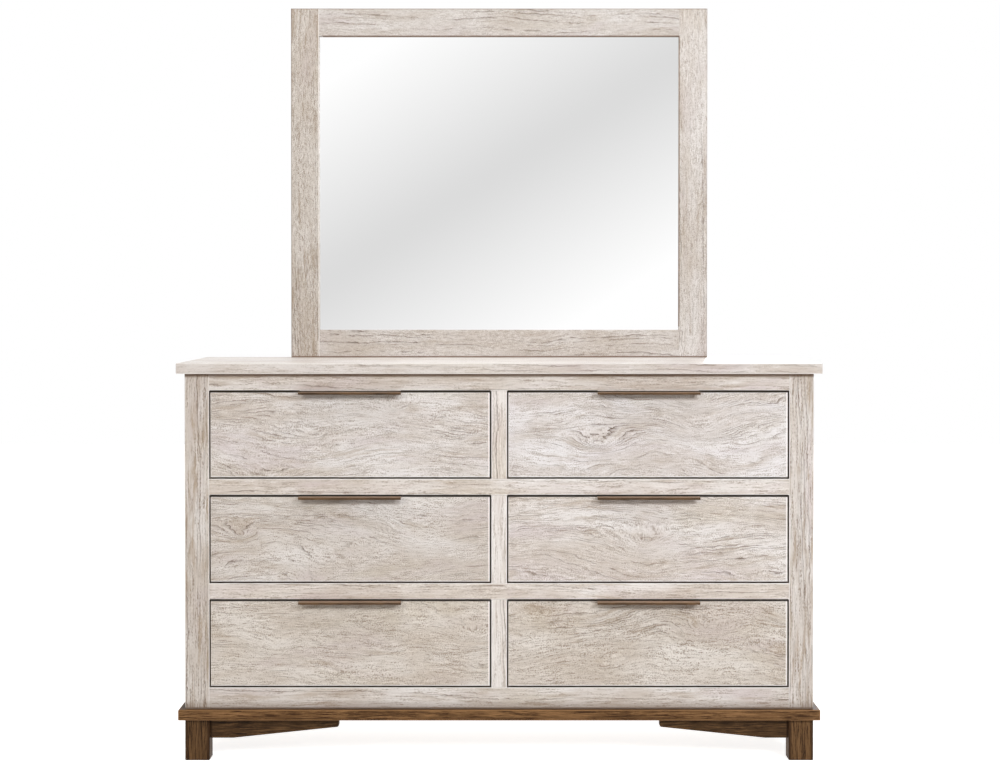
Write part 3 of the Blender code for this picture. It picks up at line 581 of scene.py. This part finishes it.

# Where the case is bare inside, how deep the gaps get painted shade, and the painted shade at the
# seams of its boards: under the top's overhang, on and above the plinth, and under the mirror.
FRAME_MIDDLE = sum(corner.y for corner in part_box("top_rail")) / 2
FRAME_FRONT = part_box("top_rail")[0].y
PAST_INNER_FACE = 0.0004
GAP_SHADE_FROM_FRONT = 0.0018
PANEL_INSIDE = {"bare_behind": FRAME_MIDDLE, "bare_within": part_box("right_side_panel")[0].x + PAST_INNER_FACE}
INSIDE = {**PANEL_INSIDE, "dark_behind": FRAME_FRONT + GAP_SHADE_FROM_FRONT}
PLINTH_BOX = (Vector((-FAR, -FAR, 0.0)), Vector((FAR, FAR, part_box("plinth_front")[1].z)))
SHADOW_UNDER_TOP = (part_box("top_board"), 0.0125, 0.80)
SHADE_ON_PLINTH = (PLINTH_BOX, 0.0070, 0.75)
SHADE_ABOVE_PLINTH = (PLINTH_BOX, 0.024, 0.30)
UPRIGHT_SHADE_SEAMS = (SHADOW_UNDER_TOP, SHADE_ON_PLINTH, SHADE_ABOVE_PLINTH)
MIRROR_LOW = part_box("mirror_left_stile")[0]
MIRROR_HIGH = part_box("mirror_right_stile")[1]
SHADE_UNDER_MIRROR = ((MIRROR_LOW, MIRROR_HIGH), 0.004, 0.5)

top_low, top_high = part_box("top_board")
# Painted shade darkens the top's front face, so that it reads darker than the lit top, and the top where the
# mirror stands; its lower front edge is made pale.
TOP_FRONT_SHADE = (line_at(y=top_low.y), 0.003, 0.17)
TOP_LOWER_EDGE = (line_at(y=top_low.y, z=top_low.z), 0.003, 0.8)
whitewash_board("top_board", AXIS_X, AXIS_Y, 11.0, TOP_GRAIN, seams=(SHADE_UNDER_MIRROR, TOP_FRONT_SHADE),
                wear_and_highlights=(TOP_LOWER_EDGE,), specular=0.6, Matt=0.48, Tone=-0.08, Glaze=0.7, Lightness=0.99)

# Painted shade darkens the lower edge of each rail that has drawers under it, as the shade of the
# gap below. On the top rail it stops at the pulls.
RAIL_GAP_SHADE = (0.0021, 0.95)
rails = {"top_rail": ((SHADOW_UNDER_TOP,), 1.0), "upper_mid_rail": ((), 1.02), "lower_mid_rail": ((), 1.06),
         "bottom_rail": ((SHADE_ON_PLINTH, SHADE_ABOVE_PLINTH), 0.985)}
for number, (node, (seams, lightness)) in enumerate(rails.items()):
    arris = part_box(node)[0].z
    gap_shade_over_drawers = []
    for side in ("left", "right") if node != "bottom_rail" else ():
        front_low, front_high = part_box(f"upper_{side}_drawer_front")
        pull_low, pull_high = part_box(f"upper_{side}_drawer_pull")
        stretches = ((front_low.x, front_high.x),)
        if node == "top_rail":
            stretches = ((front_low.x, pull_low.x), (pull_high.x, front_high.x))
        for left_end, right_end in stretches:
            open_gap = (Vector((left_end, FRAME_FRONT, arris)), Vector((right_end, FRAME_FRONT, arris)))
            gap_shade_over_drawers.append((open_gap, *RAIL_GAP_SHADE))
    whitewash_board(node, AXIS_X, AXIS_Z, 21.0 + number, STRAIGHT, **INSIDE, free_ends=False, seams=seams,
                    gaps=gap_shade_over_drawers, Tone=0.03, Glaze=1.1, Lightness=lightness)
for number, (node, lightness) in enumerate((("left_front_stile", 0.95), ("right_front_stile", 0.955))):
    whitewash_board(node, AXIS_Z, AXIS_X, 31.0 + number, UPRIGHT, **INSIDE, seams=UPRIGHT_SHADE_SEAMS,
                    Glaze=1.7, Tone=0.05, Lightness=lightness)
for number, node in enumerate(("upper_mullion", "middle_mullion", "lower_mullion")):
    whitewash_board(node, AXIS_Z, AXIS_X, 41.0 + number, UPRIGHT, **INSIDE, free_ends=False, Tone=-0.06,
                    Glaze=0.8, Lightness=1.06)
for number, node in enumerate(("left_side_panel", "right_side_panel")):
    whitewash_board(node, AXIS_Z, AXIS_Y, 51.0 + number, WILD, **PANEL_INSIDE, seams=UPRIGHT_SHADE_SEAMS)

# Bare inner boards
# The dust panels with their dovetailed guides, the rear rail and the centre post
# are planed and left unfinished. The back is thin birch plywood.
bare_wood, given, result = start_group(
    "bare_wood",
    {"Rings": 0.0, "Fibre": 0.5, "Pores": 0.0, "Clouds": Vector(), "Light": BARE_LIGHT, "Dark": BARE_DARK,
     "Contrast": 0.6},
    FINISH)
cloud = split(bare_wood, given["Clouds"])
soft = maths(bare_wood, 'MULTIPLY', stretch(bare_wood, cloud[0], 0.30, 0.70, 0.0, 0.6), given["Contrast"])
colour = tint(bare_wood, soft, given["Light"], given["Dark"])
strands = maths(bare_wood, 'MULTIPLY', stretch(bare_wood, given["Fibre"], 0.55, 0.30), given["Contrast"])
colour = tint(bare_wood, strands, colour, given["Dark"])
ring_marks = maths(bare_wood, 'MULTIPLY', given["Rings"], given["Contrast"])
bare_wood.links.new(tint(bare_wood, ring_marks, colour, given["Dark"]), result["Color"])
bare_wood.links.new(maths(bare_wood, 'MULTIPLY_ADD', given["Fibre"], -0.15, 0.72), result["Roughness"])
bare_wood.links.new(maths(bare_wood, 'SUBTRACT', given["Fibre"], given["Pores"]), result["Height"])


def bare_board(node, along_axis, across_axis, seed, grain, specular=0.25, **values):
    material, position, board = start_board(f"bare_{node}", node, along_axis, across_axis, seed, grain)
    finish_board(material, node, add_finish(material, bare_wood, board, values), specular, relief=0.3)


PLY_LIGHT = (0.600, 0.450, 0.290, 1.0)
PLY_DARK = (0.430, 0.290, 0.170, 1.0)
PLY_GRAIN = {**WILD, "Ring Spacing": 0.012, "Fibre Length": 1.5, "Quiet Rings": 0.6, "Speckle": 0.4}
for number, node in enumerate(("bottom_panel", "lower_dust_panel", "upper_dust_panel")):
    bare_board(node, AXIS_X, AXIS_Y, 61.0 + number, WILD)
bare_board("rear_top_rail", AXIS_X, AXIS_Z, 64.0, STRAIGHT)
bare_board("rear_centre_post", AXIS_Z, AXIS_X, 65.0, STRAIGHT)
bare_board("back_panel", AXIS_X, AXIS_Z, 66.0, PLY_GRAIN, Light=PLY_LIGHT, Dark=PLY_DARK, Contrast=0.5)

# Screws of the back
# Zinc-plated pan heads with a cross recess, driven through the plywood along its
# edges into the sides, the rear rail, the bottom and the centre post.
ZINC_DULL = (0.330, 0.310, 0.270, 1.0)
ZINC_BRIGHT = (0.560, 0.540, 0.490, 1.0)
SPOT_WAVES = (900.0, 900.0, 900.0)
HEAD_SIDES = 24
HEAD_PROFILE = ((1.0, 0.0), (0.97, 0.45), (0.80, 0.85), (0.60, 1.0))
ARM_LENGTH = 0.50
ARM_WIDTH = 0.10
RECESS_DEPTH = 0.55
RECESS_TAPER = 0.7
TURN_FROM_LAST = 0.65

zinc = bpy.data.materials.new("plated_steel")
zinc.use_nodes = True
tree = zinc.node_tree
spots = noise(tree, add_node(tree, "ShaderNodeTexCoord").outputs["Object"], SPOT_WAVES, 2.0)[0]
shader = tree.nodes["Principled BSDF"]
shader.inputs["Metallic"].default_value = 0.9
plating = tint(tree, stretch(tree, spots, 0.35, 0.65), ZINC_DULL, ZINC_BRIGHT)
tree.links.new(plating, shader.inputs["Base Color"])
tree.links.new(maths(tree, 'MULTIPLY_ADD', spots, 0.3, 0.25), shader.inputs["Roughness"])


def cross_reach(angle):
    """How far the cross recess reaches from the centre of a head, as a share of its radius."""
    from_arm = abs((angle + math.pi / 4) % (math.pi / 2) - math.pi / 4)
    return min(ARM_LENGTH / math.cos(from_arm), ARM_WIDTH / max(math.sin(from_arm), 0.01))


def add_screws(name, body, places, radius, height):
    """One piece of screw heads that stand on faces turned to +Y."""
    heads = bmesh.new()
    angles = [math.tau * side / HEAD_SIDES for side in range(HEAD_SIDES)]
    for number, place in enumerate(places):
        turned = TURN_FROM_LAST * number
        outlines = [[(share, level)] * HEAD_SIDES for share, level in HEAD_PROFILE]
        outlines.append([(cross_reach(angle), 1.0) for angle in angles])
        outlines.append([(cross_reach(angle) * RECESS_TAPER, 1.0 - RECESS_DEPTH) for angle in angles])
        loops = []
        for outline in outlines:
            loop = []
            for angle, (share, level) in zip(angles, outline):
                across = radius * share * math.cos(angle + turned)
                down = radius * share * math.sin(angle + turned)
                loop.append(heads.verts.new(place + Vector((across, height * level, -down))))
            loops.append(loop)
        for lower, upper in zip(loops, loops[1:]):
            for side in range(HEAD_SIDES):
                following = (side + 1) % HEAD_SIDES
                heads.faces.new((lower[side], lower[following], upper[following], upper[side]))
        heads.faces.new(loops[0][::-1])
        heads.faces.new(loops[-1])
    bmesh.ops.recalc_face_normals(heads, faces=heads.faces)
    mesh = bpy.data.meshes.new(name)
    heads.to_mesh(mesh)
    heads.free()
    mesh.materials.append(zinc)
    screws = bpy.data.objects.new(name, mesh)
    bpy.context.scene.collection.objects.link(screws)
    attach(screws, body)


back_low, back_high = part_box("back_panel")
BACK_MARGIN = 0.0045
ROW_SPACING = 0.14
ROW_EACH_SIDE = 5
SIDE_SPACES = 5
CENTRE_SPACES = 4
side_line = back_high.x - BACK_MARGIN
rail_row = sum(corner.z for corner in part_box("rear_top_rail")) / 2
bottom_row = sum(corner.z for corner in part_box("bottom_panel")) / 2
row_drop = rail_row - bottom_row
back_places = [Vector((x, back_high.y, rail_row - step / SIDE_SPACES * row_drop))
               for x in (-side_line, side_line) for step in range(SIDE_SPACES + 1)]
back_places += [Vector((ROW_SPACING * step, back_high.y, row))
                for row in (rail_row, bottom_row) for step in range(-ROW_EACH_SIDE, ROW_EACH_SIDE + 1)]
back_places += [Vector((0.0, back_high.y, rail_row - step / CENTRE_SPACES * row_drop))
                for step in range(1, CENTRE_SPACES)]
add_screws("back_panel_screws", "case", back_places, radius=0.0038, height=0.0016)

# Drawers
# Each front is one flat-sawn board, whitewashed on its face and bare behind. The
# box is dovetailed from clear-lacquered boards, with a plywood bottom in grooves.
BOX_LIGHT = (0.700, 0.540, 0.365, 1.0)
BOX_DARK = (0.500, 0.345, 0.205, 1.0)

# Painted shade darkens the gaps above and to the right of each front, and a painted shadow dims it
# under its pull; the wash is pale inside its right edge and along its foot, partly wear and partly painted
# highlight.
PULL_INSET = Vector((0.012, -FAR, 0.0))
PULL_SHADOW = (0.010, 0.30)
GAP_SHADE_ABOVE = (0.0020, 1.0)
GAP_SHADE_BESIDE = (0.0018, 0.7)
WORN_AND_LIT_SIDE = (0.0024, 0.8)
WORN_AND_LIT_SIDE_INSET = 0.0030
WORN_AND_LIT_FOOT = (0.0030, 0.7)
# Each front's lightness is partly its own tone and partly painted light, mostly lighter towards the top and the
# right, where the lamps fall stronger.
fronts = {"upper_left_drawer": {"Lightness": 0.985, "Glaze": 1.0, "Yellow": -0.03},
          "upper_right_drawer": {"Lightness": 1.015, "Glaze": 0.95, "Yellow": -0.06},
          "middle_left_drawer": {"Lightness": 0.945, "Glaze": 1.15, "Yellow": 0.0},
          "middle_right_drawer": {"Lightness": 1.015, "Glaze": 1.0, "Yellow": -0.015},
          "lower_left_drawer": {"Lightness": 0.95, "Glaze": 1.15, "Yellow": 0.045},
          "lower_right_drawer": {"Lightness": 0.935, "Glaze": 1.25, "Yellow": 0.05}}
for number, (drawer, tone_and_light_of_front) in enumerate(fronts.items()):
    low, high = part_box(f"{drawer}_front")
    pull_low, pull_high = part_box(f"{drawer}_pull")
    pull_shadow = (pull_low + PULL_INSET, pull_high - PULL_INSET)
    gap_shade_lines = ((line_at(y=low.y, z=high.z), *GAP_SHADE_ABOVE), (line_at(x=high.x, y=low.y), *GAP_SHADE_BESIDE))
    worn_and_lit_lines = ((line_at(x=high.x - WORN_AND_LIT_SIDE_INSET, y=low.y), *WORN_AND_LIT_SIDE),
                  (line_at(y=low.y, z=low.z), *WORN_AND_LIT_FOOT))
    whitewash_board(f"{drawer}_front", AXIS_X, AXIS_Z, 71.0 + number, WILD, **INSIDE,
                    seams=((pull_shadow, *PULL_SHADOW),), gaps=gap_shade_lines, wear_and_highlights=worn_and_lit_lines, Rub=0.2,
                    **tone_and_light_of_front)
    bare_board(f"{drawer}_box", AXIS_Y, AXIS_Z, 81.0 + number, STRAIGHT, specular=0.5, Light=BOX_LIGHT,
               Dark=BOX_DARK, Contrast=0.5)
    bare_board(f"{drawer}_bottom", AXIS_X, AXIS_Y, 91.0 + number, PLY_GRAIN, Light=PLY_LIGHT,
               Dark=PLY_DARK, Contrast=0.4)

# Pulls
# Folded steel strip with a brushed bronze finish, hooked over the top of each front
# and screwed to the front's back. It has a painted highlight along its bend, and its flat
# top is painted light at the front and shaded behind.
BRONZE_LIGHT = (0.104, 0.058, 0.028, 1.0)
BRONZE_DARK = (0.036, 0.020, 0.010, 1.0)
BRONZE_HIGHLIGHT = (0.400, 0.272, 0.186, 1.0)
BRONZE_SHADED = (0.030, 0.019, 0.012, 1.0)
BRUSH_WAVES = (35.0, 1500.0, 1500.0)
BRUSH_DEPTH = 0.0002
PATINA_WAVES = (18.0, 60.0, 60.0)
BEND_HIGHLIGHT = (0.0022, 0.22)
HIGHLIGHT_DEPTH = 0.015
SHADED_DEPTH = 0.026


def brushed_bronze(node):
    """Bronze for one pull: mottled on its lip, with a painted highlight along its bend, and its flat top
    painted light at the front and shaded further back.
    """
    low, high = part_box(node)
    material = bpy.data.materials.new(f"bronze_{node}")
    material.use_nodes = True
    tree = material.node_tree
    position = add_node(tree, "ShaderNodeTexCoord").outputs["Object"]
    brushed = noise(tree, position, BRUSH_WAVES, 2.0)[0]
    patina = noise(tree, position, PATINA_WAVES, 2.0)[0]
    mottled = maths(tree, 'MULTIPLY_ADD', brushed, 0.6, maths(tree, 'MULTIPLY', patina, 0.4))
    tone = tint(tree, stretch(tree, mottled, 0.38, 0.62), BRONZE_DARK, BRONZE_LIGHT)
    bend = along_seams(tree, position, ((line_at(y=low.y, z=high.z), *BEND_HIGHLIGHT),))
    tone = tint(tree, bend, tone, BRONZE_HIGHLIGHT)
    # Painted light and shade: faces turned up take the sheet's colour, light at the front, shaded behind.
    normal = add_node(tree, "ShaderNodeNewGeometry").outputs["Normal"]
    facing_up = stretch(tree, split(tree, normal)[2], 0.3, 0.9)
    depth = stretch(tree, split(tree, position)[1], low.y + HIGHLIGHT_DEPTH, low.y + SHADED_DEPTH)
    sheet = tint(tree, depth, BRONZE_HIGHLIGHT, BRONZE_SHADED)
    shader = tree.nodes["Principled BSDF"]
    shader.inputs["Metallic"].default_value = 0.75
    bump = add_node(tree, "ShaderNodeBump", {"Height": brushed, "Strength": 0.25, "Distance": BRUSH_DEPTH})
    tree.links.new(tint(tree, facing_up, tone, sheet), shader.inputs["Base Color"])
    tree.links.new(maths(tree, 'MULTIPLY_ADD', brushed, 0.25, 0.28), shader.inputs["Roughness"])
    tree.links.new(bump.outputs[0], shader.inputs["Normal"])
    return material


SCREW_DROP = 0.008
SCREW_SPACING = 0.09
for drawer in fronts:
    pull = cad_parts[f"{drawer}_pull"]
    pull.data.materials.clear()
    pull.data.materials.append(brushed_bronze(f"{drawer}_pull"))
    low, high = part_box(f"{drawer}_pull")
    places = [Vector(((low.x + high.x) / 2 + SCREW_SPACING * step, high.y, high.z - SCREW_DROP))
              for step in (-1, 0, 1)]
    add_screws(f"{drawer}_pull_screws", drawer, places, radius=0.0032, height=0.0013)

# Mirror
# Two stiles and two rails, whitewashed like the case, stand on the top board and
# are tied to the case by two bare posts. The glass and a hardboard back lie in a rebate.
REAR_MARGIN = 0.0012
BEHIND = {"bare_behind": MIRROR_HIGH.y - REAR_MARGIN}
MIRROR_GRAIN = {**UPRIGHT, "Fibre Length": 0.5, "Quiet Rings": 0.3, "Speckle": 1.4}
MIRROR_RAIL_GRAIN = {**STRAIGHT, "Sway": 0.03, "Curl": 0.010, "Fibre Length": 0.5, "Quiet Rings": 0.25,
                     "Speckle": 1.2}
HARDBOARD_LIGHT = (0.205, 0.120, 0.066, 1.0)
HARDBOARD_DARK = (0.125, 0.070, 0.038, 1.0)

# Painted shade darkens the inner edges at the top and the right, the foot where it stands on the
# top board, and the outer edges; a painted highlight lights the left stile's inner edge.
UNMARKED = 0.01
INNER_SHADE_LINE = (0.0016, 1.0)
SHADE_ON_TOP_BOARD = (0.0050, 0.9)
OUTER_SHADE_LINE = (0.0026, 0.7)
FAINT_OUTER_SHADE_LINE = (0.0026, 0.35)
LIT_INNER_EDGE_HIGHLIGHT = (0.0034, 0.6)
sight_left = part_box("mirror_left_stile")[1].x
sight_low = Vector((sight_left + UNMARKED, -FAR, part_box("mirror_bottom_rail")[1].z + UNMARKED))
sight_high = Vector((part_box("mirror_right_stile")[0].x, FAR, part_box("mirror_top_rail")[0].z))
MIRROR_SHADE_SEAMS = (((sight_low, sight_high), *INNER_SHADE_LINE), (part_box("top_board"), *SHADE_ON_TOP_BOARD),
                (line_at(y=MIRROR_LOW.y, z=MIRROR_HIGH.z), *OUTER_SHADE_LINE),
                (line_at(x=MIRROR_LOW.x, y=MIRROR_LOW.y), *OUTER_SHADE_LINE),
                (line_at(x=MIRROR_HIGH.x, y=MIRROR_LOW.y), *FAINT_OUTER_SHADE_LINE))
# The left stile is darker than the right, partly its own tone and partly painted shade from the weaker left
# lamp.
mirror_stiles = {"left": {"Lightness": 0.82, "Glaze": 1.5, "Yellow": 0.035},
                 "right": {"Lightness": 0.87, "Glaze": 1.1, "Yellow": 0.0}}
for number, (side, tone_and_light_of_stile) in enumerate(mirror_stiles.items()):
    whitewash_board(f"mirror_{side}_stile", AXIS_Z, AXIS_X, 101.0 + number, MIRROR_GRAIN, **BEHIND,
                    seams=MIRROR_SHADE_SEAMS, wear_and_highlights=((line_at(x=sight_left, y=MIRROR_LOW.y), *LIT_INNER_EDGE_HIGHLIGHT),),
                    Tone=0.02, Rub=0.0, **tone_and_light_of_stile)
for number, (side, lightness) in enumerate((("top", 0.80), ("bottom", 0.84))):
    whitewash_board(f"mirror_{side}_rail", AXIS_X, AXIS_Z, 103.0 + number, MIRROR_RAIL_GRAIN, **BEHIND,
                    free_ends=False, seams=MIRROR_SHADE_SEAMS, Rub=0.0, Glaze=0.75, Lightness=lightness)

POST_SCREW_LEVELS = (0.705, 0.810, 0.925, 1.150, 1.400, 1.650)
for number, node in enumerate(("mirror_left_support", "mirror_right_support")):
    bare_board(node, AXIS_Z, AXIS_X, 105.0 + number, STRAIGHT)
    low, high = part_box(node)
    places = [Vector(((low.x + high.x) / 2, high.y, level)) for level in POST_SCREW_LEVELS]
    add_screws(f"{node}_screws", "case", places, radius=0.0045, height=0.0006)
bare_board("mirror_backing", AXIS_X, AXIS_Z, 107.0, {**STRAIGHT, "Ring Spacing": 0.05},
           Light=HARDBOARD_LIGHT, Dark=HARDBOARD_DARK, Contrast=0.4)

silver = bpy.data.materials.new("silvered_glass")
silver.use_nodes = True
shader = silver.node_tree.nodes["Principled BSDF"]
shader.inputs["Base Color"].default_value = (0.95, 0.95, 0.95, 1.0)
shader.inputs["Metallic"].default_value = 1.0
shader.inputs["Roughness"].default_value = 0.0
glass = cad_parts["mirror_glass"]
glass.data.materials.clear()
glass.data.materials.append(silver)
